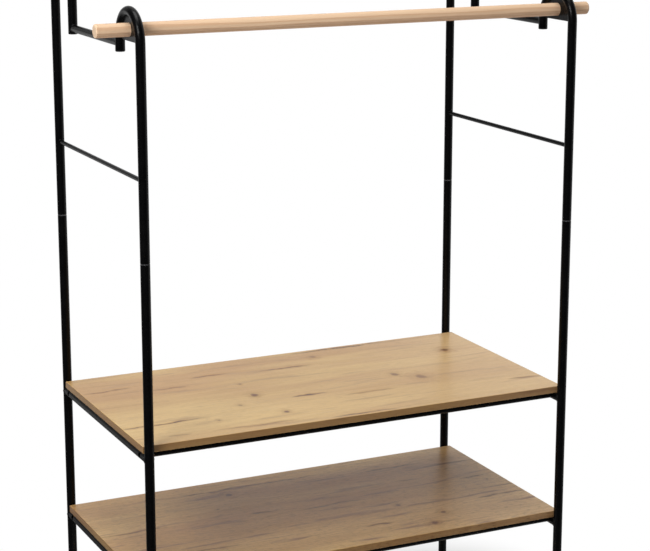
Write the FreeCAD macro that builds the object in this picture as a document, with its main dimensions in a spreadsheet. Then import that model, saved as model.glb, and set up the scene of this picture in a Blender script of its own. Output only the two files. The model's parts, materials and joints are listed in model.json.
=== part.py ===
import FreeCAD, Part
import math
import os
import re
import Sketcher

# Double clothes rack: two hooked side frames of round steel tube, two shelves and two wooden rods.
# Millimetres. The floor is z = 0, the front is -Y and the origin is midway between the four posts.

Vector = FreeCAD.Vector
Rotation = FreeCAD.Rotation

SIZES = {
    # Posts of round tube, in two halves that meet at a seam
    "post_spread": 784,
    "post_depth": 428,
    "tube_diameter": 16,
    "tube_wall": 1.2,
    "seam_height": 825,
    "seam_bevel": 0.8,
    "spigot_length": 70,
    "spigot_wall": 1.5,
    # Hooks at the tops of the posts, which carry the hanging rods
    "front_rail_height": 1190,
    "back_rail_rise": 423,
    "hook_radius": 47,
    "rail_above_bend": 18,
    "stub_drop": 21,
    "tail_below_link": 10,
    "hook_plate_thickness": 3,
    "plug_cap_height": 2.5,
    "plug_cap_round": 1.5,
    "plug_length": 14,
    # Bars that brace the hooks and posts from front to back
    "link_below_bend": 7,
    "link_bar_diameter": 13,
    "rung_diameter": 7.5,
    "rung_height_share": 0.405,
    # Wooden hanging rods
    "rod_diameter": 22,
    "rod_overhang": 58,
    "rod_end_round": 2,
    "rod_hole_gap": 0.1,
    # Shelves
    "lower_shelf_height": 270,
    "shelf_spacing": 237,
    "board_thickness": 12,
    "board_edge_round": 0.8,
    "board_post_gap": 3,
    "board_end_inset": 1,
    "long_bar_diameter": 13,
    "long_bar_wall": 1.2,
    "long_bar_setback": 27,
    # Bolts that hold the long bars, with their heads inside the shelf tubes
    "bolt_diameter": 5,
    "bolt_length": 22,
    "bolt_head_diameter": 7.6,
    "bolt_head_height": 3,
    "bolt_socket_diameter": 3.4,
    "bolt_socket_depth": 1.8,
    "access_hole_diameter": 9,
    "nut_inset": 2,
    "nut_length": 15,
    # Screws that hold the boards from below, with their heads inside the long bars
    "screw_diameter": 3.5,
    "screw_head_diameter": 7,
    "screw_head_height": 2.2,
    "screw_point_length": 3,
    "screw_spread_share": 0.72,
    "screw_grip": 8,
    # Levelling feet and the inserts that they screw into
    "foot_pad_diameter": 20,
    "foot_pad_height": 8,
    "foot_pad_round": 1.2,
    "foot_socket_depth": 5,
    "foot_stud_diameter": 8,
    "foot_stud_rise": 26,
    "insert_flange_height": 2,
    "insert_length": 28,
    "foot_stop_gap": 0.3,
    # Fits between pieces, and how far a cutting shape runs past what it cuts
    "weld_gap": 0.05,
    "seat_gap": 0.05,
    "push_fit_gap": 0.05,
    "thread_gap": 0.06,
    "hole_gap": 0.25,
    "cut_overrun": 5,
}

PLACES = {
    # Where the posts, hooks and rods stand
    "half_spread": "post_spread / 2",
    "half_depth": "post_depth / 2",
    "tube_radius": "tube_diameter / 2",
    "bore_radius": "tube_radius - tube_wall",
    "post_foot_height": "foot_pad_height + foot_stop_gap + insert_flange_height",
    "front_bend_height": "front_rail_height - rail_above_bend",
    "back_rail_height": "front_rail_height + back_rail_rise",
    "back_bend_height": "back_rail_height - rail_above_bend",
    "link_height": "front_bend_height - link_below_bend",
    "front_hook_end_height": "front_bend_height - stub_drop",
    "back_hook_end_height": "link_height - tail_below_link",
    "stub_reach": "half_depth - 2 * hook_radius",
    "rod_reach": "half_depth - hook_radius",
    "rung_height": "seam_height + rung_height_share * (front_hook_end_height - seam_height)",
    # Where the shelf tubes, long bars and fasteners lie, below a board's underside
    "upper_shelf_height": "lower_shelf_height + shelf_spacing",
    "tube_axis_drop": "tube_radius + seat_gap",
    "bar_axis_drop": "long_bar_diameter / 2 + seat_gap",
    "bolt_rise": "tube_axis_drop - bar_axis_drop",
    "bar_reach": "half_depth - long_bar_setback",
    "bar_bore_radius": "long_bar_diameter / 2 - long_bar_wall",
    "bolt_seat": "sqrt(pow(bore_radius; 2) - pow(bolt_head_diameter / 2 + abs(bolt_rise); 2)) - seat_gap",
    "screw_seat": "sqrt(pow(bar_bore_radius; 2) - pow(screw_head_diameter / 2; 2)) - seat_gap",
    "screw_length": "bar_axis_drop - screw_seat + screw_grip",
    "board_length": "post_spread + tube_diameter - 2 * board_end_inset",
    "board_width": "post_depth - tube_diameter - 2 * board_post_gap",
    "rod_length": "post_spread + 2 * rod_overhang",
    "screw_reach": "half_spread * screw_spread_share",
}

SIDES = {"left": -1, "right": 1}
ROWS = {"front": -1, "back": 1}
LEVELS = {"lower": "lower_shelf_height", "upper": "upper_shelf_height"}

UPRIGHT = Rotation()
ALONG_X = Rotation(Vector(0, 1, 0), 90)
AGAINST_X = Rotation(Vector(0, 1, 0), -90)
ALONG_Y = Rotation(Vector(1, 0, 0), -90)
HALF_TURN = Rotation(Vector(0, 0, 1), 180)
# Stands a half disc up in the YZ plane, with its round side on top
DISC_ON_EDGE = Rotation(Vector(1, 1, 1), 120)

# Two lengths closer than this are the same length
SAME_LENGTH = 1e-6

doc = FreeCAD.newDocument("clothes_rack")
subparts = []


# The sheet of sizes

def fill_sheet():
    """Write the driving sizes as plain numbers, and below them the places worked out from those."""
    sheet = doc.addObject("Spreadsheet::Sheet", "Sizes")
    cells = {alias: str(value) for alias, value in SIZES.items()}
    cells.update({alias: "=" + formula for alias, formula in PLACES.items()})
    for row, (alias, content) in enumerate(cells.items(), start=1):
        sheet.set(f"A{row}", alias)
        sheet.set(f"B{row}", content)
        sheet.setAlias(f"B{row}", alias)
    doc.recompute()
    return sheet


def size(alias):
    """The present value of a size or a place."""
    return float(getattr(sheet, alias))


def in_sheet(formula):
    """A formula with each size in it named as a cell of the sheet."""
    def cell(word):
        return "Sizes." + word[0] if word[0] in SIZES or word[0] in PLACES else word[0]
    return re.sub(r"[a-z_]+", cell, formula)


def bind(piece, prop, formula):
    """Tie one property of a piece to a formula of the sheet's sizes."""
    piece.setExpression(prop, in_sheet(formula))


def place(piece, x="0", y="0", z="0", turn=UPRIGHT):
    """Turn a piece about its own origin and tie its place to the sheet."""
    piece.Placement = FreeCAD.Placement(Vector(), turn)
    for axis, formula in (("x", x), ("y", y), ("z", z)):
        bind(piece, "Placement.Base." + axis, formula)
    return piece


def keep(piece):
    """Count a finished object among the rack's pieces."""
    subparts.append(piece)
    return piece


# Shapes that several pieces are made with

def sketch_on(body, role, name):
    """An empty sketch on one of a body's own origin planes."""
    sketch = body.newObject("Sketcher::SketchObject", name)
    plane = next(feature for feature in body.Origin.OriginFeatures if feature.Role == role)
    sketch.AttachmentSupport = [(plane, "")]
    sketch.MapMode = "FlatFace"
    return sketch


def fix_distance(sketch, kind, start, end, formula):
    """Hold one sketch point a distance from another, along the sketch's X or Y."""
    index = sketch.addConstraint(Sketcher.Constraint(kind, *start, *end, 1.0))
    bind(sketch, f"Constraints[{index}]", formula)


def turned(label, outline):
    """A body turned about Z, from the corners (radius, height) of half its section."""
    body = doc.addObject("PartDesign::Body", label)
    sketch = sketch_on(body, "XZ_Plane", label + "_section")
    count = len(outline)
    turns = [2 * math.pi * corner / count for corner in range(count)]
    corners = [Vector(2 + math.cos(turn), 2 + math.sin(turn)) for turn in turns]
    for start, end in zip(corners, corners[1:] + corners[:1]):
        sketch.addGeometry(Part.LineSegment(start, end))
    for line, (radius, height) in enumerate(outline):
        sketch.addConstraint(Sketcher.Constraint("Coincident", line - 1 if line else count - 1, 2, line, 1))
        for kind, formula, axis in (("DistanceX", radius, -2), ("DistanceY", height, -1)):
            if formula == "0":
                sketch.addConstraint(Sketcher.Constraint("PointOnObject", line, 1, axis))
            else:
                fix_distance(sketch, kind, (-1, 1), (line, 1), formula)
    turn = body.newObject("PartDesign::Revolution", label + "_turning")
    turn.Profile = sketch
    turn.ReferenceAxis = (sketch, ["V_Axis"])
    doc.recompute()
    return body


def rims(body, radius, heights):
    """The names of a turned body's round edges of one radius, at the heights given."""
    def matches(edge):
        ring = edge.BoundBox
        level = any(abs(ring.ZMin - height) < SAME_LENGTH for height in heights)
        flat = level and ring.ZLength < SAME_LENGTH
        return flat and edge.isClosed() and abs(edge.Length / (2 * math.pi) - radius) < SAME_LENGTH
    edges = enumerate(body.Tip.Shape.Edges, start=1)
    return [f"Edge{number}" for number, edge in edges if matches(edge)]


def soften(body, kind, prop, edges, formula):
    """Round or bevel the named edges of a body."""
    base = body.Tip
    feature = body.newObject("PartDesign::" + kind, body.Name + "_" + kind.lower())
    feature.Base = (base, edges)
    bind(feature, prop, formula)
    doc.recompute()
    return body


def cylinder(name, radius, length, x="0", y="0", z="0", turn=UPRIGHT):
    """A plain cylinder, placed by the middle of its first end."""
    piece = doc.addObject("Part::Cylinder", name)
    bind(piece, "Radius", radius)
    bind(piece, "Height", length)
    return place(piece, x, y, z, turn)


def cut(label, base, tools):
    """A base with every tool taken out of it."""
    tool = tools[0]
    if len(tools) > 1:
        tool = doc.addObject("Part::MultiFuse", label + "_cutters")
        tool.Shapes = tools
    piece = doc.addObject("Part::Cut", label)
    piece.Base = base
    piece.Tool = tool
    return piece


# Posts and hooks

def lower_post(label, x, y):
    """The lower half of a post: straight tube from the foot insert up to the seam."""
    length = "seam_height - post_foot_height"
    outline = [
        ("bore_radius", "0"),
        ("tube_radius", "0"),
        ("tube_radius", f"{length} - seam_bevel"),
        ("tube_radius - seam_bevel", length),
        ("bore_radius", length),
    ]
    return keep(place(turned(label, outline), x, y, "post_foot_height"))


def hook_path(body, rise, drop):
    """The middle line of a hooked post: up, over in a half circle towards +Y, and down again."""
    path = sketch_on(body, "YZ_Plane", body.Name + "_path")
    up, bend, down = size("seam_height"), size("hook_radius"), size("stub_drop")
    post = path.addGeometry(Part.LineSegment(Vector(), Vector(0, up)))
    circle = Part.Circle(Vector(bend, up), Vector(0, 0, 1), bend)
    hook = path.addGeometry(Part.ArcOfCircle(circle, 0, math.pi))
    tail = path.addGeometry(Part.LineSegment(Vector(2 * bend, up), Vector(2 * bend, up - down)))
    path.addConstraint(Sketcher.Constraint("Coincident", post, 1, -1, 1))
    path.addConstraint(Sketcher.Constraint("Vertical", post))
    path.addConstraint(Sketcher.Constraint("Tangent", post, 2, hook, 2))
    path.addConstraint(Sketcher.Constraint("Tangent", hook, 1, tail, 1))
    path.addConstraint(Sketcher.Constraint("Vertical", tail))
    radius = path.addConstraint(Sketcher.Constraint("Radius", hook, bend))
    bind(path, f"Constraints[{radius}]", "hook_radius")
    fix_distance(path, "DistanceY", (post, 1), (post, 2), rise)
    fix_distance(path, "DistanceY", (tail, 2), (tail, 1), drop)
    return path


def hooked_post(label, x, y, bend_height, end_height, turn):
    """The upper half of a post: one tube bent over at the top, with a bevel at the seam."""
    body = doc.addObject("PartDesign::Body", label)
    ring = sketch_on(body, "XY_Plane", label + "_ring")
    for radius in ("tube_radius", "bore_radius"):
        circle = ring.addGeometry(Part.Circle(Vector(), Vector(0, 0, 1), size(radius)))
        ring.addConstraint(Sketcher.Constraint("Coincident", circle, 3, -1, 1))
        wall = ring.addConstraint(Sketcher.Constraint("Radius", circle, size(radius)))
        bind(ring, f"Constraints[{wall}]", radius)
    drop = f"{bend_height} - {end_height} - plug_cap_height"
    path = hook_path(body, f"{bend_height} - seam_height", drop)
    pipe = body.newObject("PartDesign::AdditivePipe", label + "_bent_tube")
    pipe.Profile = ring
    pipe.Spine = (path, ["Edge1", "Edge2", "Edge3"])
    doc.recompute()
    soften(body, "Chamfer", "Size", rims(body, size("tube_radius"), [0]), "seam_bevel")
    return keep(place(body, x, y, "seam_height", turn))


def seam_spigot(label, x, y):
    """The tube inside a post that joins its two halves."""
    outer = "bore_radius - push_fit_gap"
    inner = f"{outer} - spigot_wall"
    outline = [(inner, "0"), (outer, "0"), (outer, "spigot_length"), (inner, "spigot_length")]
    return keep(place(turned(label, outline), x, y, "seam_height - spigot_length / 2"))


def hook_plug(label, x, y, end_height):
    """The plug that closes the lower end of a hook, with a rounded cap."""
    shank = "bore_radius - push_fit_gap"
    outline = [
        ("0", "0"),
        ("tube_radius", "0"),
        ("tube_radius", "plug_cap_height"),
        (shank, "plug_cap_height"),
        (shank, "plug_length"),
        ("0", "plug_length"),
    ]
    plug = turned(label, outline)
    soften(plug, "Fillet", "Radius", rims(plug, size("tube_radius"), [0]), "plug_cap_round")
    return keep(place(plug, x, y, end_height))


def hook_plate(label, x, y, bend_height):
    """The half-round plate welded inside a hook, with the hole that a hanging rod passes through."""
    disc = cylinder(label + "_disc", "hook_radius - tube_radius - weld_gap", "hook_plate_thickness",
                    x="-hook_plate_thickness / 2", turn=DISC_ON_EDGE)
    disc.Angle = 180
    thickness = "hook_plate_thickness + 2 * cut_overrun"
    hole = cylinder(label + "_hole", "rod_diameter / 2 + rod_hole_gap", thickness,
                    x=f"-({thickness}) / 2", z="rail_above_bend", turn=ALONG_X)
    return keep(place(cut(label, disc, [hole]), x, y, bend_height))


# Bars that brace the posts and hooks from front to back

def welded_bar(label, diameter, reach):
    """A straight bar along Y, and the upright tubes that its two notched ends fit."""
    bar = cylinder(label + "_bar", f"{diameter} / 2", f"2 * {reach}", y=f"-{reach}", turn=ALONG_Y)
    height = f"{diameter} + 2 * cut_overrun"
    saddles = [cylinder(f"{label}_saddle_{name}", "tube_radius + weld_gap", height,
                        y=f"{row} * {reach}", z=f"-({height}) / 2")
               for name, row in ROWS.items()]
    return bar, saddles


def link_bar(label, x):
    """The tube between the front hook's stub and the back hook's tail."""
    bar, saddles = welded_bar(label, "link_bar_diameter", "stub_reach")
    bore = cylinder(label + "_bore", "link_bar_diameter / 2 - tube_wall", "2 * stub_reach",
                    y="-stub_reach", turn=ALONG_Y)
    return keep(place(cut(label, bar, saddles + [bore]), x, z="link_height"))


def rung(label, x):
    """The thin round bar between the front and back posts."""
    bar, saddles = welded_bar(label, "rung_diameter", "half_depth")
    return keep(place(cut(label, bar, saddles), x, z="rung_height"))


# Hanging rods

def hanging_rod(label, y, rail_height):
    """A round wooden rod with softened ends, pushed through the plates of two hooks."""
    radius = "rod_diameter / 2"
    outline = [("0", "0"), (radius, "0"), (radius, "rod_length"), ("0", "rod_length")]
    rod = turned(label, outline)
    ends = rims(rod, size("rod_diameter") / 2, [0, size("rod_length")])
    soften(rod, "Fillet", "Radius", ends, "rod_end_round")
    return keep(place(rod, "-rod_length / 2", y, rail_height, ALONG_X))


# Shelves

def shelf_tube(label, x, level, turn):
    """The tube under one end of a board, with a bolt hole inside and an access hole outside at each end."""
    bar, saddles = welded_bar(label, "tube_diameter", "half_depth")
    bore = cylinder(label + "_bore", "bore_radius", "post_depth", y="-half_depth", turn=ALONG_Y)
    tools = saddles + [bore]
    for name, row in ROWS.items():
        y = f"{row} * bar_reach"
        wall = "tube_radius + cut_overrun"
        tools.append(cylinder(f"{label}_access_{name}", "access_hole_diameter / 2", wall,
                              y=y, z="bolt_rise", turn=AGAINST_X))
        tools.append(cylinder(f"{label}_bolt_hole_{name}", "bolt_diameter / 2 + hole_gap", wall,
                              y=y, z="bolt_rise", turn=ALONG_X))
    return keep(place(cut(label, bar, tools), x, z=f"{level} - tube_axis_drop", turn=turn))


def long_bar(label, y, level):
    """The tube under a long edge of a board, notched at its ends and drilled for the board's screws."""
    bar = cylinder(label + "_bar", "long_bar_diameter / 2", "post_spread", x="-half_spread", turn=ALONG_X)
    bore = cylinder(label + "_bore", "bar_bore_radius", "post_spread", x="-half_spread", turn=ALONG_X)
    tools = [bore]
    reach = "long_bar_diameter / 2 + cut_overrun"
    for name, side in SIDES.items():
        tools.append(cylinder(f"{label}_saddle_{name}", "tube_radius + weld_gap", f"2 * ({reach})",
                              x=f"{side} * half_spread", y=f"-({reach})", z="-bolt_rise", turn=ALONG_Y))
        x = f"{side} * screw_reach"
        tools.append(cylinder(f"{label}_screw_hole_{name}", "screw_diameter / 2 + hole_gap", reach, x=x))
        tools.append(cylinder(f"{label}_screw_access_{name}", "screw_head_diameter / 2 + hole_gap", reach,
                              x=x, z=f"-({reach})"))
    return keep(place(cut(label, bar, tools), y=y, z=f"{level} - bar_axis_drop"))


def shelf_board(label, level):
    """A plain board with softened edges and pilot holes for its screws."""
    panel = doc.addObject("PartDesign::Body", label + "_panel")
    slab = panel.newObject("PartDesign::AdditiveBox", label + "_slab")
    for prop in ("Length", "Width"):
        bind(slab, prop, "board_" + prop.lower())
    bind(slab, "Height", "board_thickness")
    place(slab, "-board_length / 2", "-board_width / 2")
    doc.recompute()
    edges = [f"Edge{number}" for number, edge in enumerate(slab.Shape.Edges, start=1)]
    soften(panel, "Fillet", "Radius", edges, "board_edge_round")
    pilots = [cylinder(f"{label}_pilot_{side_name}_{row_name}", "screw_diameter / 2 + thread_gap",
                       "screw_grip + seat_gap + cut_overrun",
                       x=f"{side} * screw_reach", y=f"{row} * bar_reach", z="-cut_overrun")
              for side_name, side in SIDES.items() for row_name, row in ROWS.items()]
    return keep(place(cut(label, panel, pilots), z=level))


# Fasteners, each kind a group of separate pieces

def group(label, members):
    """Like pieces that share one name."""
    piece = doc.addObject("Part::Compound", label)
    piece.Links = members
    return keep(piece)


def long_bar_nut(name, side, y, level):
    """A threaded plug pressed into the end of a long bar."""
    plug = cylinder(name + "_plug", "bar_bore_radius - push_fit_gap", "nut_length")
    thread = cylinder(name + "_thread", "bolt_diameter / 2 + thread_gap", "nut_length + 2 * cut_overrun",
                      z="-cut_overrun")
    nut = cut(name, plug, [thread])
    x = f"{side} * (half_spread - tube_radius - nut_inset)"
    return place(nut, x, y, f"{level} - bar_axis_drop", AGAINST_X if side > 0 else ALONG_X)


def long_bar_bolt(name, side, y, level):
    """A socket-head bolt whose head lies inside the shelf tube."""
    head = cylinder(name + "_head", "bolt_head_diameter / 2", "bolt_head_height", z="-bolt_head_height")
    shank = cylinder(name + "_shank", "bolt_diameter / 2", "bolt_length")
    blank = doc.addObject("Part::Fuse", name + "_blank")
    blank.Base = head
    blank.Tool = shank
    socket = doc.addObject("Part::Prism", name + "_socket")
    socket.Polygon = 6
    bind(socket, "Circumradius", "bolt_socket_diameter / 2")
    bind(socket, "Height", "bolt_socket_depth + cut_overrun")
    place(socket, z="-bolt_head_height - cut_overrun")
    bolt = cut(name, blank, [socket])
    x = f"{side} * (half_spread - bolt_seat)"
    return place(bolt, x, y, f"{level} - bar_axis_drop", AGAINST_X if side > 0 else ALONG_X)


def board_screw(name, x, y, level):
    """A pan-head wood screw that points up, with its head against the bar's upper wall."""
    shank = "screw_diameter / 2"
    head = "screw_head_diameter / 2"
    outline = [
        ("0", "0"),
        (head, "0"),
        (head, "screw_head_height"),
        (shank, "screw_head_height"),
        (shank, "screw_head_height + screw_length - screw_point_length"),
        ("0", "screw_head_height + screw_length"),
    ]
    z = f"{level} - bar_axis_drop + screw_seat - screw_head_height"
    return place(turned(name, outline), x, y, z)


# Feet

def foot_insert(label, x, y):
    """The threaded insert in the lower end of a post."""
    thread = "foot_stud_diameter / 2 + thread_gap"
    plug = "bore_radius - push_fit_gap"
    top = "insert_flange_height + insert_length"
    outline = [
        (thread, "0"),
        ("tube_radius", "0"),
        ("tube_radius", "insert_flange_height"),
        (plug, "insert_flange_height"),
        (plug, top),
        (thread, top),
    ]
    return keep(place(turned(label, outline), x, y, "post_foot_height - insert_flange_height"))


def foot_pad(label, x, y):
    """The round pad that a post stands on, with a socket for its stud."""
    rim, socket = "foot_pad_diameter / 2", "foot_stud_diameter / 2 + push_fit_gap"
    floor = "foot_pad_height - foot_socket_depth"
    outline = [
        ("0", "0"),
        (rim, "0"),
        (rim, "foot_pad_height"),
        (socket, "foot_pad_height"),
        (socket, floor),
        ("0", floor),
    ]
    pad = turned(label, outline)
    edges = rims(pad, size("foot_pad_diameter") / 2, [0, size("foot_pad_height")])
    soften(pad, "Fillet", "Radius", edges, "foot_pad_round")
    return keep(place(pad, x, y))


def foot_stud(label, x, y):
    """The stud pressed into a foot's pad, which screws up into the insert."""
    floor = "foot_pad_height - foot_socket_depth + seat_gap"
    stud = cylinder(label, "foot_stud_diameter / 2", "foot_socket_depth - seat_gap + foot_stud_rise")
    return keep(place(stud, x, y, floor))


# The rack, put together from the floor up

sheet = fill_sheet()

for side_name, side in SIDES.items():
    x = f"{side} * half_spread"
    for row_name, row in ROWS.items():
        corner = f"{side_name}_{row_name}"
        y = f"{row} * half_depth"
        turn = HALF_TURN if row > 0 else UPRIGHT
        foot_pad(corner + "_foot_pad", x, y)
        foot_stud(corner + "_foot_stud", x, y)
        foot_insert(corner + "_foot_insert", x, y)
        lower_post(corner + "_lower_post", x, y)
        seam_spigot(corner + "_seam_spigot", x, y)
        bend_height, end_height = row_name + "_bend_height", row_name + "_hook_end_height"
        hooked_post(corner + "_hooked_post", x, y, bend_height, end_height, turn)
        hook_plate(corner + "_hook_plate", x, f"{row} * rod_reach", bend_height)
        hook_plug(corner + "_hook_plug", x, f"{row} * stub_reach", end_height)
    for level_name, level in LEVELS.items():
        turn = HALF_TURN if side > 0 else UPRIGHT
        shelf_tube(f"{side_name}_{level_name}_shelf_tube", x, level, turn)
    link_bar(side_name + "_link_bar", x)
    rung(side_name + "_rung", x)

for level_name, level in LEVELS.items():
    shelf_board(level_name + "_shelf_board", level)
    corners = [(side_name, side, row_name, row) for side_name, side in SIDES.items()
               for row_name, row in ROWS.items()]
    nuts, bolts, screws = [], [], []
    for side_name, side, row_name, row in corners:
        stem = f"{level_name}_{side_name}_{row_name}"
        y = f"{row} * bar_reach"
        nuts.append(long_bar_nut(stem + "_nut", side, y, level))
        bolts.append(long_bar_bolt(stem + "_bolt", side, y, level))
        screws.append(board_screw(stem + "_screw", f"{side} * screw_reach", y, level))
    for row_name, row in ROWS.items():
        long_bar(f"{level_name}_{row_name}_long_bar", f"{row} * bar_reach", level)
    group(level_name + "_long_bar_nuts", nuts)
    group(level_name + "_long_bar_bolts", bolts)
    group(level_name + "_board_screws", screws)

for row_name, row in ROWS.items():
    hanging_rod(row_name + "_hanging_rod", f"{row} * rod_reach", row_name + "_rail_height")

doc.recompute()


# Every object is checked before any piece is written

for item in doc.Objects:
    if "Invalid" in item.State or "Error" in item.State:
        raise RuntimeError(f"{item.Label} failed: {item.getStatusString()}")
for piece in subparts:
    if piece.Shape.isNull() or not piece.Shape.isValid() or not piece.Shape.Solids:
        raise RuntimeError(f"{piece.Label} has no valid solid")

os.makedirs("parts", exist_ok=True)
for piece in subparts:
    piece.Shape.exportStep(os.path.join("parts", piece.Label + ".step"))
print(f"{len(subparts)} pieces written")
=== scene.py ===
import json
import math

import bpy
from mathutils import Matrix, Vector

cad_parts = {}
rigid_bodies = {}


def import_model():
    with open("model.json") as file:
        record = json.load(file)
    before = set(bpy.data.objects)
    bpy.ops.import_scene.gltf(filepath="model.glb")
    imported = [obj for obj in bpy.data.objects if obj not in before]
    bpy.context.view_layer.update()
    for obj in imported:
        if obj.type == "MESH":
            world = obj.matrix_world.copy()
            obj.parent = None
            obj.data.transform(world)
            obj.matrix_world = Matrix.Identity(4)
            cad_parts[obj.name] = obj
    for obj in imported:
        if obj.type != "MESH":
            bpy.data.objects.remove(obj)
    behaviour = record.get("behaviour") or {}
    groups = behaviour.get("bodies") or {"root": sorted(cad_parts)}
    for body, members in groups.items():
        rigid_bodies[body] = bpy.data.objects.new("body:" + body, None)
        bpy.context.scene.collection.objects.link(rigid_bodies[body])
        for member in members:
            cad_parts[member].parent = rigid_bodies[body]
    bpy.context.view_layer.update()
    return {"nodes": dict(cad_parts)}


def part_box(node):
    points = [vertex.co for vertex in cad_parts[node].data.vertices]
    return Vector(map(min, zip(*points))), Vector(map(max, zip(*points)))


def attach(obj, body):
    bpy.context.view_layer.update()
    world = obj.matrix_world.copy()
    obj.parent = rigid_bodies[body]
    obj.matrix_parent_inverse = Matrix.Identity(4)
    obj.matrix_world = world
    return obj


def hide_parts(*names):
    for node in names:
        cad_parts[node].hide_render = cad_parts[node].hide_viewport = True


# The startup file's own objects go first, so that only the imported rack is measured.
for leftover in list(bpy.data.objects):
    bpy.data.objects.remove(leftover)
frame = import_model()


# Foot pads: four round feet, moulded in black plastic, each with a socket for its stud.
# A ring of low ribs round each one gives the fingers a grip when the rack is levelled.

def add_node(tree, kind, inputs=None, **settings):
    """Add one node. Each input is a plain value or the socket that feeds it."""
    made = tree.nodes.new(kind)
    for name, value in settings.items():
        setattr(made, name, value)
    for key, value in (inputs or {}).items():
        if isinstance(value, bpy.types.NodeSocket):
            tree.links.new(value, made.inputs[key])
        else:
            made.inputs[key].default_value = value
    return made


def calc(tree, operation, *values):
    """One sum on a field. Returns the socket with the answer."""
    return add_node(tree, "ShaderNodeMath", dict(enumerate(values)), operation=operation).outputs[0]


def respan(tree, value, low, high, start, end, ease="LINEAR"):
    """Carry a value from one span to another and hold it inside the second."""
    spans = {"Value": value, "From Min": low, "From Max": high, "To Min": start, "To Max": end}
    return add_node(tree, "ShaderNodeMapRange", spans, interpolation_type=ease).outputs["Result"]


def vector_of(tree, x, y, z):
    """Three values as one vector. Returns the vector socket."""
    return add_node(tree, "ShaderNodeCombineXYZ", {"X": x, "Y": y, "Z": z}).outputs["Vector"]


def blend(tree, share, first, second, how="MIX"):
    """Mix two colours. A Mix node repeats its sockets' names, so they go by number."""
    ends = {0: share, 6: first, 7: second}
    return add_node(tree, "ShaderNodeMix", ends, data_type="RGBA", blend_type=how).outputs[2]


def new_group(name, kind, inputs, outputs):
    """Start a node group with named sockets. Returns the group and its input sockets."""
    group = bpy.data.node_groups.new(name, kind)
    for label, socket in inputs.items():
        group.interface.new_socket(label, in_out="INPUT", socket_type="NodeSocket" + socket)
    for label, socket in outputs.items():
        group.interface.new_socket(label, in_out="OUTPUT", socket_type="NodeSocket" + socket)
    return group, add_node(group, "NodeGroupInput").outputs


def paint(red, green, blue):
    """A colour written as it looks on a screen, 0 to 255, as linear light."""
    shares = [step / 255 for step in (red, green, blue)]
    return [s / 12.92 if s <= 0.04045 else ((s + 0.055) / 1.055) ** 2.4 for s in shares] + [1.0]


# Nearly all of a noise lies between these two values.
noise_low, noise_high = 0.3, 0.7

mottle, given = new_group("mottle", "ShaderNodeTree",
                          {"Scale": "Float", "Low": "Float", "High": "Float"}, {"Value": "Float"})
place = add_node(mottle, "ShaderNodeTexCoord").outputs["Object"]
cloud = add_node(mottle, "ShaderNodeTexNoise",
                 {"Vector": place, "Scale": given["Scale"], "Detail": 3.0}).outputs["Fac"]
add_node(mottle, "NodeGroupOutput",
         {"Value": respan(mottle, cloud, noise_low, noise_high, given["Low"], given["High"])})


def patches(tree, scale, low, high):
    """Soft patches all over a surface: how many to the metre, and the values they run between."""
    values = {"Scale": scale, "Low": low, "High": high}
    return add_node(tree, "ShaderNodeGroup", values, node_tree=mottle).outputs["Value"]


def new_finish(name):
    """Start a material. Returns it with its node tree and its main shader."""
    material = bpy.data.materials.new(name)
    material.use_nodes = True
    tree = material.node_tree
    return material, tree, tree.nodes["Principled BSDF"]


def emboss(tree, shader, height, depth, pressed=False):
    """Give a finish a fine relief of this depth, in metres, raised or pressed in."""
    values = {"Height": height, "Strength": 1.0, "Distance": depth}
    relief = add_node(tree, "ShaderNodeBump", values, invert=pressed)
    tree.links.new(relief.outputs["Normal"], shader.inputs["Normal"])


def mottled_finish(name, tones, patch, gloss, grain, relief, fixed):
    """Two close tones in soft patches, uneven gloss and a fine relief, as on a skin of
    powder coat, moulded plastic or plating."""
    material, tree, shader = new_finish(name)
    for socket, value in fixed.items():
        shader.inputs[socket].default_value = value
    gloss_grain = grain / 3
    tone = blend(tree, patches(tree, patch, 0.0, 1.0), *tones)
    tree.links.new(tone, shader.inputs["Base Color"])
    tree.links.new(patches(tree, gloss_grain, *gloss), shader.inputs["Roughness"])
    emboss(tree, shader, patches(tree, grain, 0.0, 1.0), relief)
    return material


def dress(material, *endings):
    """Give a finish to each CAD piece whose name ends in one of these ways."""
    for name, node in frame["nodes"].items():
        if name.endswith(endings):
            for slot in node.material_slots:
                slot.material = material


def swept(name, tree, sizes, carrier=None):
    """Run a Geometry Nodes tree on a carrier mesh and keep what it makes as a plain mesh."""
    piece = bpy.data.objects.new(name, carrier or bpy.data.meshes.new(name))
    bpy.context.scene.collection.objects.link(piece)
    run = piece.modifiers.new(tree.name, "NODES")
    run.node_group = tree
    for socket in tree.interface.items_tree:
        if socket.in_out == "INPUT" and socket.name in sizes:
            run[socket.identifier] = sizes[socket.name]
    ready = piece.evaluated_get(bpy.context.evaluated_depsgraph_get())
    made = bpy.data.meshes.new_from_object(ready)
    piece.modifiers.remove(run)
    piece.data = made
    return piece


def middle_of(box):
    """The point midway between a box's lowest and highest corners."""
    return [(a + b) / 2 for a, b in zip(*box)]


moulded_black = mottled_finish(
    "moulded_black", (paint(17, 17, 18), paint(24, 24, 25)), patch=90, gloss=(0.46, 0.6),
    grain=2600, relief=0.00003, fixed={"Specular IOR Level": 0.3})
dress(moulded_black, "_foot_pad")

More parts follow.
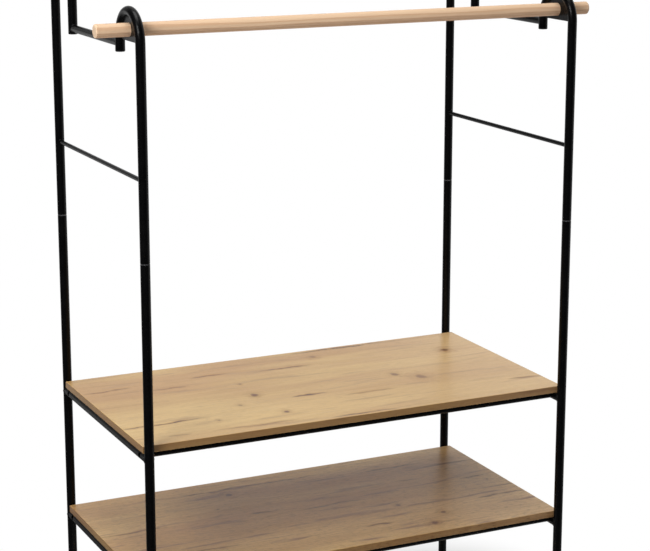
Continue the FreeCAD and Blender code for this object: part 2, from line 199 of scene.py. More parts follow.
grip, given = new_group(
    "foot_grip", "GeometryNodeTree",
    {"Ribs": "Int", "Ring Radius": "Float", "Rib Radius": "Float", "Rib Stretch": "Float",
     "Place": "Vector", "Finish": "Material"}, {"Grip": "Geometry"})
ring = add_node(grip, "GeometryNodeMeshCircle",
                {"Vertices": given["Ribs"], "Radius": given["Ring Radius"]})
rib = add_node(grip, "GeometryNodeMeshUVSphere",
               {"Segments": 10, "Rings": 8, "Radius": given["Rib Radius"]})
ribs = add_node(grip, "GeometryNodeInstanceOnPoints",
                {"Points": ring.outputs["Mesh"], "Instance": rib.outputs["Mesh"],
                 "Scale": vector_of(grip, 1.0, 1.0, given["Rib Stretch"])})
placed = add_node(grip, "GeometryNodeTransform",
                  {"Geometry": ribs.outputs["Instances"], "Translation": given["Place"]})
whole = add_node(grip, "GeometryNodeRealizeInstances", {"Geometry": placed.outputs["Geometry"]})
smooth = add_node(grip, "GeometryNodeSetShadeSmooth", {"Geometry": whole.outputs["Geometry"]})
finished = add_node(grip, "GeometryNodeSetMaterial",
                    {"Geometry": smooth.outputs["Geometry"], "Material": given["Finish"]})
add_node(grip, "NodeGroupOutput", {"Grip": finished.outputs["Geometry"]})

rib_count = 18
rib_radius = 0.0008
rib_stretch = 3.4
rib_sink = 0.0003
corners = [side + "_" + end for side in ("left", "right") for end in ("front", "back")]
for corner in corners:
    low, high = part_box(corner + "_foot_pad")
    pad_radius = (high[0] - low[0]) / 2
    ribbing = swept(corner + "_foot_grip", grip,
                    {"Ribs": rib_count, "Ring Radius": pad_radius - rib_sink,
                     "Rib Radius": rib_radius, "Rib Stretch": rib_stretch,
                     "Place": middle_of((low, high)), "Finish": moulded_black})
    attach(ribbing, corner + "_foot")


# Foot studs: zinc-plated steel screws with a rolled thread, pressed into the pads' sockets.
# They turn in the inserts, so each corner of the rack can be raised a little.

def xyz_of(tree, vector):
    """The X, Y and Z of a vector, as sockets by name."""
    return add_node(tree, "ShaderNodeSeparateXYZ", {"Vector": vector}).outputs


zinc_steel = mottled_finish(
    "zinc_steel", (paint(150, 152, 155), paint(190, 192, 194)), patch=160, gloss=(0.26, 0.42),
    grain=1500, relief=0.00002, fixed={"Metallic": 1.0})

thread, given = new_group(
    "rolled_thread", "GeometryNodeTree",
    {"Crest Radius": "Float", "Thread Depth": "Float", "Pitch": "Float", "Length": "Float",
     "Rows": "Int", "Place": "Vector", "Finish": "Material"}, {"Stud": "Geometry"})
blank = add_node(thread, "GeometryNodeMeshCylinder",
                 {"Vertices": 32, "Side Segments": given["Rows"], "Radius": given["Crest Radius"],
                  "Depth": given["Length"]})
point = xyz_of(thread, add_node(thread, "GeometryNodeInputPosition").outputs[0])
angle = calc(thread, "ARCTAN2", point["Y"], point["X"])
turns = calc(thread, "SUBTRACT", calc(thread, "DIVIDE", point["Z"], given["Pitch"]),
             calc(thread, "DIVIDE", angle, math.tau))
flank = calc(thread, "PINGPONG", calc(thread, "MULTIPLY", turns, 2.0), 1.0)
crest_end, root_start = 0.2, 0.85
cut = respan(thread, flank, crest_end, root_start, 0.0, 1.0)
half = calc(thread, "DIVIDE", given["Length"], 2.0)
from_end = calc(thread, "SUBTRACT", half, calc(thread, "ABSOLUTE", point["Z"]))
lead = respan(thread, from_end, 0.0, given["Pitch"], 1.0, 0.0)
depth = calc(thread, "MULTIPLY", given["Thread Depth"], calc(thread, "MAXIMUM", cut, lead))
radius = calc(thread, "SUBTRACT", given["Crest Radius"], depth)
rolled = vector_of(thread, calc(thread, "MULTIPLY", radius, calc(thread, "COSINE", angle)),
                   calc(thread, "MULTIPLY", radius, calc(thread, "SINE", angle)), point["Z"])
shaped = add_node(thread, "GeometryNodeSetPosition",
                  {"Geometry": blank.outputs["Mesh"], "Position": rolled})
smooth = add_node(thread, "GeometryNodeSetShadeSmooth",
                  {"Geometry": shaped.outputs["Geometry"], "Selection": blank.outputs["Side"]})
placed = add_node(thread, "GeometryNodeTransform",
                  {"Geometry": smooth.outputs["Geometry"], "Translation": given["Place"]})
whole = add_node(thread, "GeometryNodeRealizeInstances", {"Geometry": placed.outputs["Geometry"]})
finished = add_node(thread, "GeometryNodeSetMaterial",
                    {"Geometry": whole.outputs["Geometry"], "Material": given["Finish"]})
add_node(thread, "NodeGroupOutput", {"Stud": finished.outputs["Geometry"]})

thread_pitch = 0.00125
thread_depth = 0.0006
rows_per_turn = 8
for corner in corners:
    low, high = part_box(corner + "_foot_stud")
    length = high[2] - low[2]
    stud = swept(corner + "_threaded_stud", thread,
                 {"Crest Radius": (high[0] - low[0]) / 2, "Thread Depth": thread_depth,
                  "Pitch": thread_pitch, "Length": length,
                  "Rows": round(length / thread_pitch * rows_per_turn),
                  "Place": middle_of((low, high)), "Finish": zinc_steel})
    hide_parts(corner + "_foot_stud")
    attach(stud, corner + "_foot")


# Foot inserts and hook plugs: black plastic pressed into the open ends of the tubes.
# The inserts carry the thread for the studs; the plugs close the ends of the hooks.
dress(moulded_black, "_foot_insert", "_hook_plug")


# Posts: round steel tube in two lengths, the upper one bent over into a hook. A plated spigot
# inside each seam joins the two. A grey band, broken into patches, is painted round each seam
# as a painted glint of light on the seam's bevel.
black_coat = mottled_finish(
    "black_powder_coat", (paint(5, 5, 6), paint(9, 9, 10)), patch=45, gloss=(0.24, 0.34),
    grain=1700, relief=0.000008, fixed={"Specular IOR Level": 0.16})
dress(black_coat, "_lower_post", "_hooked_post")
dress(zinc_steel, "_seam_spigot")

# Painted glint: within about a millimetre of the seam the black is painted grey in patches, standing in
# for light caught on the seam.
seam_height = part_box("left_front_lower_post")[1][2]
glint_reach, glint_fade_reach = 0.0006, 0.0011
painted_glint_grey = paint(112, 112, 114)
tree = black_coat.node_tree
shader = tree.nodes["Principled BSDF"]
place = add_node(tree, "ShaderNodeTexCoord").outputs["Object"]
above_seam = calc(tree, "SUBTRACT", xyz_of(tree, place)["Z"], seam_height)
seam_glint = respan(tree, calc(tree, "ABSOLUTE", above_seam), glint_reach, glint_fade_reach, 1.0, 0.0)
patchy_seam_glint = calc(tree, "MULTIPLY", seam_glint, patches(tree, scale=140, low=0.25, high=1.0))
coat_colour = shader.inputs["Base Color"].links[0].from_socket
tree.links.new(blend(tree, patchy_seam_glint, coat_colour, painted_glint_grey), shader.inputs["Base Color"])


# Cross pieces: shelf tubes, rungs and link bars run front to back between the posts, and a
# half-round plate fills each hook. All are steel, welded on and coated with the posts.
dress(black_coat, "_shelf_tube", "_rung", "_link_bar", "_hook_plate")


# Weld beads: a small rippled fillet runs round the end of each cross piece and along the
# rim of each hook plate, on both of its faces. The coat covers them.
bead, given = new_group(
    "weld_bead", "GeometryNodeTree",
    {"Seams": "Geometry", "Bead Radius": "Float", "Ripple": "Float", "Ripple Pitch": "Float",
     "Step": "Float", "Finish": "Material"}, {"Beads": "Geometry"})
seam_line = add_node(bead, "GeometryNodeMeshToCurve", {"Mesh": given["Seams"]})
stepped = add_node(bead, "GeometryNodeResampleCurve",
                   {"Curve": seam_line.outputs["Curve"], "Length": given["Step"]}, mode="LENGTH")
run = add_node(bead, "GeometryNodeSplineParameter").outputs["Length"]
wave = calc(bead, "PINGPONG", calc(bead, "DIVIDE", run, given["Ripple Pitch"]), 1.0)
uneven = add_node(bead, "ShaderNodeTexNoise", {"Scale": 260.0, "Detail": 1.0}).outputs["Fac"]
swell = calc(bead, "MULTIPLY", calc(bead, "ADD", wave, uneven), given["Ripple"])
girth = calc(bead, "ADD", given["Bead Radius"], swell)
section = add_node(bead, "GeometryNodeCurvePrimitiveCircle", {"Resolution": 10, "Radius": 1.0})
drawn = add_node(bead, "GeometryNodeCurveToMesh",
                 {"Curve": stepped.outputs["Curve"], "Profile Curve": section.outputs["Curve"],
                  "Scale": girth, "Fill Caps": True})
smooth = add_node(bead, "GeometryNodeSetShadeSmooth", {"Geometry": drawn.outputs["Mesh"]})
whole = add_node(bead, "GeometryNodeRealizeInstances", {"Geometry": smooth.outputs["Geometry"]})
finished = add_node(bead, "GeometryNodeSetMaterial",
                    {"Geometry": whole.outputs["Geometry"], "Material": given["Finish"]})
add_node(bead, "NodeGroupOutput", {"Beads": finished.outputs["Geometry"]})

ring_steps, arc_steps = 48, 40
seam_points, seam_edges = [], []


def lay_seam(points, closed):
    """Add one line of weld to the carrier, as a ring or as an open run."""
    start = len(seam_points)
    seam_points.extend(points)
    seam_edges.extend((start + i, start + i + 1) for i in range(len(points) - 1))
    if closed:
        seam_edges.append((start + len(points) - 1, start))


def saddle(upright, bar, towards):
    """The line where a round bar meets a round upright, both given by their boxes."""
    (left, front, _), (right, _, _) = upright
    (bar_left, _, bottom), (bar_right, _, top) = bar
    upright_radius, bar_radius = (right - left) / 2, (bar_right - bar_left) / 2
    x, y, z = (left + right) / 2, front + upright_radius, (bottom + top) / 2
    points = []
    for step in range(ring_steps):
        turn = math.tau * step / ring_steps
        across = bar_radius * math.cos(turn)
        out = math.sqrt(max(upright_radius ** 2 - across ** 2, 0.0))
        points.append((x + across, y + towards * out, z + bar_radius * math.sin(turn)))
    return points


def plate_rim(plate, x):
    """The half circle where a hook plate, given by its box, meets the hook at one of its faces."""
    (_, front, bottom), (_, back, _) = plate
    radius, y = (back - front) / 2, (front + back) / 2
    turns = [math.pi * step / arc_steps for step in range(arc_steps + 1)]
    return [(x, y - radius * math.cos(turn), bottom + radius * math.sin(turn)) for turn in turns]


for side in ("left", "right"):
    for end, towards in (("front", 1), ("back", -1)):
        corner = side + "_" + end
        for bar in ("_lower_shelf_tube", "_upper_shelf_tube", "_rung"):
            lay_seam(saddle(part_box(corner + "_lower_post"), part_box(side + bar), towards), closed=True)
        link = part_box(side + "_link_bar")
        lay_seam(saddle(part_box(corner + "_hook_plug"), link, towards), closed=True)
        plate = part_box(corner + "_hook_plate")
        for corner_point in plate:
            lay_seam(plate_rim(plate, corner_point[0]), closed=False)

seams = bpy.data.meshes.new("weld_beads")
seams.from_pydata(seam_points, seam_edges, [])
welds = swept("weld_beads", bead,
              {"Bead Radius": 0.0009, "Ripple": 0.0002, "Ripple Pitch": 0.0009, "Step": 0.00045,
               "Finish": black_coat}, seams)
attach(welds, "rack")


# Long bars: black steel tube under the front and back edges of each board. Threaded nuts in
# their ends take a bolt through each shelf tube, and screws from inside hold the boards.
dress(black_coat, "_long_bar")
dress(zinc_steel, "_long_bar_nuts", "_long_bar_bolts", "_board_screws")


# Shelf boards: particle board faced with an oak print under a satin film, grain lengthwise.
# The edges have a darker band of the same print. Each board lies on two shelf tubes and two
# long bars, and is screwed down to the bars.
wood_grain, given = new_group(
    "wood_grain", "ShaderNodeTree",
    {"Place": "Vector", "Along": "Float", "Across": "Float", "Seed": "Float", "Low": "Float",
     "High": "Float"}, {"Value": "Float"})
seed_stride = 7.3
at = xyz_of(wood_grain, given["Place"])
wrapped = calc(wood_grain, "MULTIPLY", calc(wood_grain, "ADD", at["Y"], at["Z"]), given["Across"])
drawn_out = vector_of(wood_grain, calc(wood_grain, "MULTIPLY", at["X"], given["Along"]),
                      calc(wood_grain, "MULTIPLY_ADD", given["Seed"], seed_stride, wrapped), 0.0)
fibres = add_node(wood_grain, "ShaderNodeTexNoise",
                  {"Vector": drawn_out, "Scale": 1.0, "Detail": 3.0, "Roughness": 0.6},
                  noise_dimensions="2D").outputs["Fac"]
add_node(wood_grain, "NodeGroupOutput",
         {"Value": respan(wood_grain, fibres, given["Low"], given["High"], 0.0, 1.0)})


def streaks(tree, place, along, across, seed, low=noise_low, high=noise_high):
    """Streaks that run with the wood: how many to the metre each way, and where they begin."""
    values = {"Place": place, "Along": along, "Across": across, "Seed": seed, "Low": low, "High": high}
    return add_node(tree, "ShaderNodeGroup", values, node_tree=wood_grain).outputs["Value"]


def vector_calc(tree, operation, *vectors):
    """One sum on vectors. Returns the node's outputs, Vector and Value."""
    return add_node(tree, "ShaderNodeVectorMath", dict(enumerate(vectors)), operation=operation).outputs


# A knot has a dark heart, faint rings round it and a wide halo. Distances are in its radii.
knot, given = new_group("knot", "ShaderNodeTree",
                        {"Place": "Vector", "Centre": "Vector", "Radius": "Float", "Ragged": "Float"},
                        {"Core": "Float", "Halo": "Float"})
oval_share = (1.0, 0.85, 1.0)
ring_radians = 11.0
ring_strength = 0.22
apart = vector_calc(knot, "SUBTRACT", given["Place"], given["Centre"])["Vector"]
oval = vector_calc(knot, "MULTIPLY", apart, oval_share)["Vector"]
from_centre = vector_calc(knot, "LENGTH", oval)["Value"]
uneven = respan(knot, given["Ragged"], 0.0, 1.0, 0.7, 1.3)
radii_out = calc(knot, "MULTIPLY", calc(knot, "DIVIDE", from_centre, given["Radius"]), uneven)
wave = calc(knot, "SINE", calc(knot, "MULTIPLY", radii_out, ring_radians))
rings = respan(knot, wave, -1.0, 1.0, 0.0, ring_strength)
halo = respan(knot, radii_out, 0.6, 3.0, 1.0, 0.0, "SMOOTHSTEP")
near = respan(knot, radii_out, 0.5, 2.0, 1.0, 0.0, "SMOOTHSTEP")
heart = respan(knot, radii_out, 0.35, 1.0, 1.0, 0.0, "SMOOTHSTEP")
add_node(knot, "NodeGroupOutput",
         {"Core": calc(knot, "MAXIMUM", heart, calc(knot, "MULTIPLY", rings, near)), "Halo": halo})

# A crack is a dark ragged line that tapers to its ends, with a haze beside it. It marks what is
# near its own height, which is one board.
crack, given = new_group("crack", "ShaderNodeTree",
                         {"Place": "Vector", "Middle": "Vector", "Half Length": "Float",
                          "Half Width": "Float", "Ragged": "Float"},
                         {"Dark": "Float", "Haze": "Float"})
one_board = 0.03
taper_start = 0.35
fade_in = 0.4
line_blur = 0.0006
haze_width = 0.007
apart = vector_calc(crack, "SUBTRACT", given["Place"], given["Middle"])["Vector"]
off = xyz_of(crack, vector_calc(crack, "ABSOLUTE", apart)["Vector"])
along = calc(crack, "DIVIDE", off["X"], given["Half Length"])
taper = respan(crack, along, taper_start, 1.0, 1.0, 0.0)
here = calc(crack, "MULTIPLY", taper, calc(crack, "LESS_THAN", off["Z"], one_board))
lip = calc(crack, "MULTIPLY", given["Half Width"], calc(crack, "MULTIPLY", given["Ragged"], here))
past = calc(crack, "SUBTRACT", off["Y"], lip)
line = respan(crack, past, -line_blur, line_blur, 1.0, 0.0)
soft = respan(crack, past, 0.0, haze_width, 1.0, 0.0, "SMOOTHSTEP")
add_node(crack, "NodeGroupOutput",
         {"Dark": calc(crack, "MULTIPLY", line, respan(crack, here, 0.0, fade_in, 0.0, 1.0)),
          "Haze": calc(crack, "MULTIPLY", soft, here)})

oak, tree, shader = new_finish("oak_print")
surface = add_node(tree, "ShaderNodeTexCoord").outputs
place = surface["Object"]
at = xyz_of(tree, place)
facing = xyz_of(tree, surface["Normal"])

# Each board reads its own part of the print, and each layer of marks starts elsewhere in it.
sheets_per_metre = 10.0
sheet = calc(tree, "FLOOR", calc(tree, "MULTIPLY", at["Z"], sheets_per_metre))
blush_sheet, smear_sheet, ragged_sheet, feather_sheet, lumpy_sheet = (
    calc(tree, "ADD", sheet, shift) for shift in (20.0, 30.0, 50.0, 60.0, 70.0))

# Knots, each with its x, y, radius and strength, in metres from the middle of the board.
knots = {"upper": [(-0.123, -0.020, 0.0085, 0.9), (-0.111, -0.132, 0.0065, 0.9),
                   (-0.169, -0.064, 0.006, 0.5), (-0.120, 0.053, 0.0035, 0.6),
                   (0.160, -0.012, 0.010, 0.7), (0.196, -0.044, 0.013, 0.65),
                   (0.322, 0.093, 0.009, 0.85), (-0.234, -0.127, 0.0035, 0.6),
                   (0.074, 0.157, 0.008, 0.5)],
         "lower": [(-0.114, 0.127, 0.0085, 0.9), (-0.161, 0.066, 0.004, 0.6),
                   (0.147, -0.056, 0.006, 0.8), (0.205, -0.122, 0.007, 0.85),
                   (0.164, -0.163, 0.0085, 0.9), (0.366, -0.003, 0.004, 0.6)]}
board_boxes = {"upper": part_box("upper_shelf_board"), "lower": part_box("lower_shelf_board")}
board_tops = {board: box[1][2] for board, box in board_boxes.items()}
stain_share = 1 / 3
bulge_share = 0.7
lumpy = streaks(tree, place, along=60.0, across=90.0, seed=lumpy_sheet)
core, stain, bulge = 0.0, 0.0, 0.0
for board, spots in knots.items():
    for x, y, radius, strength in spots:
        spot = add_node(tree, "ShaderNodeGroup",
                        {"Place": place, "Centre": (x, y, board_tops[board]), "Radius": radius,
                         "Ragged": lumpy}, node_tree=knot).outputs
        core = calc(tree, "MULTIPLY_ADD", spot["Core"], strength, core)
        stain = calc(tree, "MULTIPLY_ADD", spot["Halo"], strength * stain_share, stain)
        pushed = calc(tree, "MULTIPLY", calc(tree, "SUBTRACT", at["Y"], y), bulge_share)
        bulge = calc(tree, "MULTIPLY_ADD", spot["Halo"], pushed, bulge)

# The grain wanders and bends round the knots. On the end faces it runs from front to back.
grain_wander = 0.05
figure_radians = 150.0
drift = streaks(tree, place, along=1.7, across=6.0, seed=sheet, low=0.0, high=1.0)
wander = calc(tree, "SUBTRACT", drift, 0.5)
flow = calc(tree, "MULTIPLY_ADD", wander, grain_wander, calc(tree, "SUBTRACT", at["Y"], bulge))
at_end = calc(tree, "GREATER_THAN", calc(tree, "ABSOLUTE", facing["X"]), 0.5)
on_top = vector_of(tree, at["X"], flow, at["Z"])
on_end = vector_of(tree, at["Y"], at["X"], at["Z"])
grain_place = add_node(tree, "ShaderNodeMix", {0: at_end, 4: on_top, 5: on_end},
                       data_type="VECTOR").outputs[1]
growth = streaks(tree, grain_place, along=1.2, across=10.0, seed=sheet, low=0.0, high=1.0)
bands = respan(tree, growth, 0.36, 0.64, 0.0, 1.0)
figure_wave = calc(tree, "SINE", calc(tree, "MULTIPLY", growth, figure_radians))
figure = respan(tree, figure_wave, 0.1, 1.0, 0.0, 1.0)
redder = streaks(tree, grain_place, along=1.6, across=9.0, seed=blush_sheet, low=0.42, high=0.62)
towards_back = respan(tree, at["Y"], -0.14, 0.06, 0.15, 1.0, "SMOOTHSTEP")
blush = calc(tree, "MULTIPLY", redder, towards_back)
smears = streaks(tree, grain_place, along=5.0, across=50.0, seed=smear_sheet, low=0.58, high=0.74)
lines = streaks(tree, grain_place, along=4.0, across=260.0, seed=sheet)
pores = streaks(tree, grain_place, along=70.0, across=1500.0, seed=sheet, low=0.55, high=0.65)

# Cracks, each with its start and end in x, its y and half its width, in metres as above.
cracks = {"upper": [(-0.415, -0.235, -0.103, 0.0016), (-0.285, -0.205, 0.081, 0.0013),
                    (-0.400, -0.300, 0.112, 0.0014), (-0.066, 0.055, 0.112, 0.0013),
                    (0.030, 0.245, 0.193, 0.0020), (-0.195, -0.112, 0.122, 0.0009),
                    (-0.072, 0.005, -0.060, 0.0024), (0.015, 0.130, -0.088, 0.0006),
                    (-0.345, -0.300, -0.172, 0.0006), (0.330, 0.405, -0.133, 0.0008),
                    (-0.060, 0.080, -0.196, 0.0012), (-0.270, -0.100, -0.178, 0.0005)],
          "lower": [(-0.260, 0.110, 0.157, 0.0016), (0.140, 0.300, 0.134, 0.0013),
                    (-0.415, -0.265, 0.024, 0.0010), (-0.120, -0.062, 0.018, 0.0012),
                    (-0.035, 0.110, 0.0, 0.0010), (0.318, 0.382, 0.022, 0.0011),
                    (0.285, 0.410, -0.084, 0.0017), (0.040, 0.104, -0.129, 0.0015),
                    (-0.300, -0.180, -0.110, 0.0009)]}
crack_wander = 0.02
crack_swell = 1.3
ragged = streaks(tree, place, along=38.0, across=30.0, seed=ragged_sheet, low=0.32, high=0.6)
feather = streaks(tree, grain_place, along=14.0, across=420.0, seed=feather_sheet, low=0.38, high=0.62)
waver = streaks(tree, place, along=10.0, across=8.0, seed=sheet, low=0.0, high=1.0)
ripple = calc(tree, "SUBTRACT", waver, 0.5)
wavy_place = vector_of(tree, at["X"], calc(tree, "MULTIPLY_ADD", ripple, crack_wander, at["Y"]), at["Z"])
dark, haze = 0.0, 0.0
for board, runs in cracks.items():
    for start, end, y, half_width in runs:
        torn = add_node(tree, "ShaderNodeGroup",
                        {"Place": wavy_place, "Middle": ((start + end) / 2, y, board_tops[board]),
                         "Half Length": (end - start) / 2, "Half Width": half_width * crack_swell,
                         "Ragged": ragged}, node_tree=crack).outputs
        dark = calc(tree, "MAXIMUM", torn["Dark"], dark)
        haze = calc(tree, "MAXIMUM", torn["Haze"], haze)
haze = calc(tree, "MULTIPLY", haze, respan(tree, feather, 0.0, 1.0, 0.35, 1.0))

# Knots and cracks stay on the faces. The edge bands carry the grain alone, in a darker tone.
banded = respan(tree, calc(tree, "ABSOLUTE", facing["Z"]), 0.35, 0.65, 1.0, 0.0)
faced = calc(tree, "SUBTRACT", 1.0, banded)
core, stain, dark, haze = (calc(tree, "MULTIPLY", mark, faced) for mark in (core, stain, dark, haze))

# The lower board is cut from a bolder part of the print.
lower_boldness = 2.6
bolder = respan(tree, at["Z"], board_tops["lower"], board_boxes["upper"][0][2], lower_boldness, 1.0)
# Painted reflection: towards the right end both boards are painted paler, standing in for the bright room
# reflected there.
right_end_reflection = respan(tree, at["X"], 0.12, 0.4, 0.0, 0.5)
haze_or_stain = calc(tree, "MAXIMUM", calc(tree, "MULTIPLY", haze, 0.8), stain)
edge_shade = (0.48, 0.42, 0.4, 1.0)
wood = blend(tree, bands, paint(224, 188, 124), paint(206, 166, 106))
wood = blend(tree, calc(tree, "MULTIPLY", blush, 0.7), wood, paint(192, 144, 94))
wood = blend(tree, right_end_reflection, wood, paint(238, 200, 150))
for mark, share, tone in ((figure, 0.09, paint(160, 118, 70)), (smears, 0.45, paint(152, 110, 80)),
                          (lines, 0.08, paint(156, 114, 68)), (pores, 0.25, paint(120, 84, 52))):
    wood = blend(tree, calc(tree, "MULTIPLY", calc(tree, "MULTIPLY", mark, share), bolder), wood, tone)
wood = blend(tree, haze_or_stain, wood, paint(150, 92, 14))
wood = blend(tree, calc(tree, "MULTIPLY", dark, 0.9), wood, paint(70, 32, 2))
wood = blend(tree, core, wood, paint(104, 54, 8))
wood = blend(tree, banded, wood, blend(tree, 1.0, wood, edge_shade, "MULTIPLY"))
tree.links.new(wood, shader.inputs["Base Color"])
tree.links.new(respan(tree, lines, 0.0, 1.0, 0.28, 0.36), shader.inputs["Roughness"])
emboss(tree, shader, calc(tree, "ADD", pores, dark), 0.00003, pressed=True)
dress(oak, "_shelf_board")


# Hanging rods: turned pine dowels, sanded and left pale, with rounded ends. Each is pushed
# through the round holes of two hook plates and stands out past both.

def hypotenuse(tree, first, second):
    """The length of the long side over two sides at a right angle."""
    squares = calc(tree, "MULTIPLY_ADD", first, first, calc(tree, "MULTIPLY", second, second))
    return calc(tree, "SQRT", squares)


pine, tree, shader = new_finish("pine_dowel")
surface = add_node(tree, "ShaderNodeTexCoord").outputs
place = surface["Object"]
at = xyz_of(tree, place)
at_end = calc(tree, "GREATER_THAN", calc(tree, "ABSOLUTE", xyz_of(tree, surface["Normal"])["X"]), 0.5)

# Each rod is cut from beside the pith, so its growth rings are arcs about a line outside it.
# The side nearest that line, low at the back, is painted darker: partly heartwood, partly
# painted shade on the rod's underside.
pith_offset = (0.0, 0.026, -0.026)
ring_width = 0.0042
ring_sway = 0.012
dark_side_end, pale_side_start = 0.0355, 0.0385
front_seed, back_seed = 5.0, 8.0
is_back = calc(tree, "GREATER_THAN", at["Y"], 0.0)
rod = respan(tree, is_back, 0.0, 1.0, front_seed, back_seed)
front_pith, back_pith = ([a + b for a, b in zip(middle_of(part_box(name)), pith_offset)]
                         for name in ("front_hanging_rod", "back_hanging_rod"))
pith_y, pith_z = (respan(tree, is_back, 0.0, 1.0, front_pith[axis], back_pith[axis]) for axis in (1, 2))
drift = streaks(tree, place, along=1.8, across=16.0, seed=rod, low=0.0, high=1.0)
sway = calc(tree, "MULTIPLY", drift, ring_sway)
out_y = calc(tree, "ADD", calc(tree, "SUBTRACT", at["Y"], pith_y), sway)
out_z = calc(tree, "SUBTRACT", at["Z"], pith_z)
from_pith = hypotenuse(tree, out_y, out_z)
ring_share = calc(tree, "FRACT", calc(tree, "DIVIDE", from_pith, ring_width))
late = respan(tree, ring_share, 0.35, 0.95, 0.0, 1.0, "SMOOTHSTEP")
heartwood_and_shade = respan(tree, from_pith, dark_side_end, pale_side_start, 1.0, 0.0, "SMOOTHSTEP")
heartwood_and_shade_tone = (0.74, 0.71, 0.71, 1.0)
fibre = streaks(tree, place, along=14.0, across=800.0, seed=rod)
tint = streaks(tree, place, along=2.0, across=60.0, seed=rod)
wood = blend(tree, calc(tree, "MULTIPLY", late, 0.62), paint(241, 208, 172), paint(210, 162, 124))
wood = blend(tree, calc(tree, "MULTIPLY", tint, 0.35), wood, paint(224, 182, 146))
wood = blend(tree, calc(tree, "MULTIPLY", fibre, 0.18), wood, paint(196, 150, 112))
# Darker heartwood on the lower back side, which also serves as painted shade under the rod.
wood = blend(tree, heartwood_and_shade, wood, blend(tree, 1.0, wood, heartwood_and_shade_tone, "MULTIPLY"))
wood = blend(tree, calc(tree, "MULTIPLY", at_end, 0.5), wood, paint(250, 222, 190))
tree.links.new(wood, shader.inputs["Base Color"])
tree.links.new(respan(tree, fibre, 0.0, 1.0, 0.5, 0.64), shader.inputs["Roughness"])
emboss(tree, shader, fibre, 0.00003)
shader.inputs["Specular IOR Level"].default_value = 0.3
dress(pine, "_hanging_rod")


# Floor: a wide pale studio floor. It keeps the shadow round the rack and runs out to plain
# white for the camera. Seen in glossy surfaces that white part glows as a light screen,
# bright towards the back right and dim at the front left.
floor_reach = 30.0
shaded_half = {"X": 0.36, "Y": 0.18}
shade_end, white_start = 0.02, 0.3
towards_screen = (0.75, 0.66, 0.0)
dim_side, bright_side = 0.06, 0.8
glow_start, glow_full = -0.2, 1.4
floor_mesh = bpy.data.meshes.new("studio_floor")
floor_corners = [(x * floor_reach, y * floor_reach, 0) for x, y in ((-1, -1), (1, -1), (1, 1), (-1, 1))]
floor_mesh.from_pydata(floor_corners, [], [(0, 1, 2, 3)])
floor = bpy.data.objects.new("studio_floor", floor_mesh)
bpy.context.scene.collection.objects.link(floor)

pale, tree, _ = new_finish("pale_floor")
tree.nodes.clear()
at = xyz_of(tree, add_node(tree, "ShaderNodeTexCoord").outputs["Object"])
past_side, past_end = (
    calc(tree, "MAXIMUM", calc(tree, "SUBTRACT", calc(tree, "ABSOLUTE", at[axis]), half), 0.0)
    for axis, half in shaded_half.items())
past_shade = hypotenuse(tree, past_side, past_end)
rays = add_node(tree, "ShaderNodeLightPath").outputs
seen = calc(tree, "ADD", rays["Is Camera Ray"],
            calc(tree, "ADD", rays["Is Glossy Ray"], rays["Is Transmission Ray"]))
runs_out = respan(tree, past_shade, shade_end, white_start, 0.0, 1.0, "SMOOTHSTEP")
white_share = calc(tree, "MULTIPLY", seen, runs_out)
screen_side = calc(tree, "MULTIPLY_ADD", at["X"], towards_screen[0],
                   calc(tree, "MULTIPLY", at["Y"], towards_screen[1]))
glow = respan(tree, screen_side, glow_start, glow_full, dim_side, bright_side)
bright = calc(tree, "MAXIMUM", rays["Is Camera Ray"], glow)
matt = add_node(tree, "ShaderNodeBsdfDiffuse", {"Color": (0.84, 0.84, 0.84, 1.0)})
white = add_node(tree, "ShaderNodeEmission", {"Color": (1.0, 1.0, 1.0, 1.0), "Strength": bright})
either = add_node(tree, "ShaderNodeMixShader",
                  {0: white_share, 1: matt.outputs["BSDF"], 2: white.outputs["Emission"]})
add_node(tree, "ShaderNodeOutputMaterial", {"Surface": either.outputs["Shader"]})
floor_mesh.materials.append(pale)


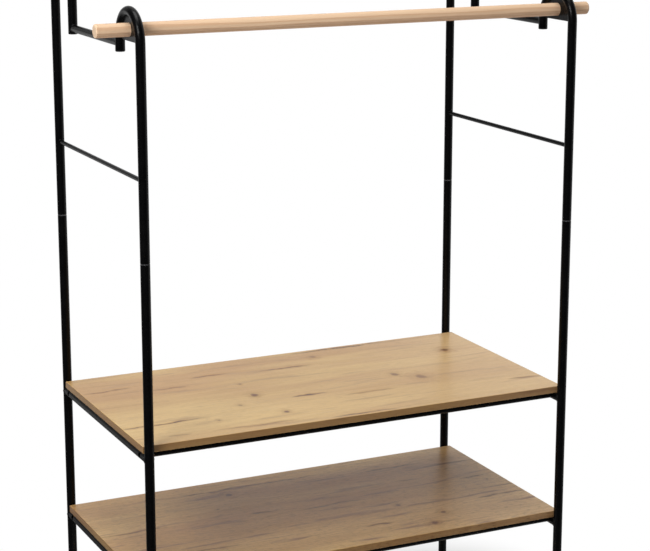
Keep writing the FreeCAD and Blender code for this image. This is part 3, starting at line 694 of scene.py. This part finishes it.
# Light: an even pale room with a white screen behind the rack, a broad soft box high overhead,
# and two at the front left, one high for the glints and one low as a fill.
room_light = 0.15
screen_rim, screen_full = 0.2, 0.8
world = bpy.data.worlds.new("studio")
bpy.context.scene.world = world
world.use_nodes = True
tree = world.node_tree
tree.nodes.clear()
rays = add_node(tree, "ShaderNodeLightPath").outputs
direction = add_node(tree, "ShaderNodeTexCoord").outputs["Generated"]
ahead = vector_calc(tree, "DOT_PRODUCT", direction, towards_screen)["Value"]
screen = respan(tree, ahead, screen_rim, screen_full, dim_side, bright_side)
over_room = calc(tree, "SUBTRACT", screen, room_light)
lit = calc(tree, "MULTIPLY_ADD", rays["Is Glossy Ray"], over_room, room_light)
plain = calc(tree, "MAXIMUM", rays["Is Camera Ray"], rays["Is Transmission Ray"])
sky = add_node(tree, "ShaderNodeBackground",
               {"Color": (1.0, 1.0, 1.0, 1.0), "Strength": calc(tree, "MAXIMUM", plain, lit)})
add_node(tree, "ShaderNodeOutputWorld", {"Surface": sky.outputs["Background"]})

for name, spot, aim, size, power in (
        ("soft_box_overhead", (-0.4, 0.2, 7.0), (0.0, 0.0, 0.6), 4.0, 258.0),
        ("soft_box_high", (-2.4, -1.7, 2.9), (0.0, 0.0, 0.9), 1.2, 58.0),
        ("soft_box_low", (-2.8, -1.9, 0.9), (0.0, 0.0, 0.9), 1.8, 20.0)):
    lamp = bpy.data.lights.new(name, "AREA")
    lamp.shape = "SQUARE"
    lamp.size = size
    lamp.energy = power
    soft_box = bpy.data.objects.new(name, lamp)
    bpy.context.scene.collection.objects.link(soft_box)
    soft_box.location = spot
    soft_box.visible_glossy = name != "soft_box_low"
    away = [a - b for a, b in zip(spot, aim)]
    flat = math.hypot(away[0], away[1])
    soft_box.rotation_euler = (math.atan2(flat, away[2]), 0.0, math.atan2(away[0], -away[1]))


# Camera: a long lens that looks at the rack from the front left, a little above it. It is
# tilted down, with a small shift that puts the rack where the photograph has it.
tilt_down, turn_right = 12.815, 25.435
lens = bpy.data.cameras.new("photo_camera")
lens.sensor_width = 36.0
lens.lens = 103.9
lens.shift_y = -0.035
camera = bpy.data.objects.new("photo_camera", lens)
bpy.context.scene.collection.objects.link(camera)
camera.location = (-1.3747, -2.9418, 1.4994)
camera.rotation_euler = (math.radians(90.0 - tilt_down), 0.0, math.radians(-turn_right))
bpy.context.scene.camera = camera
bpy.context.scene.view_settings.view_transform = "Standard"
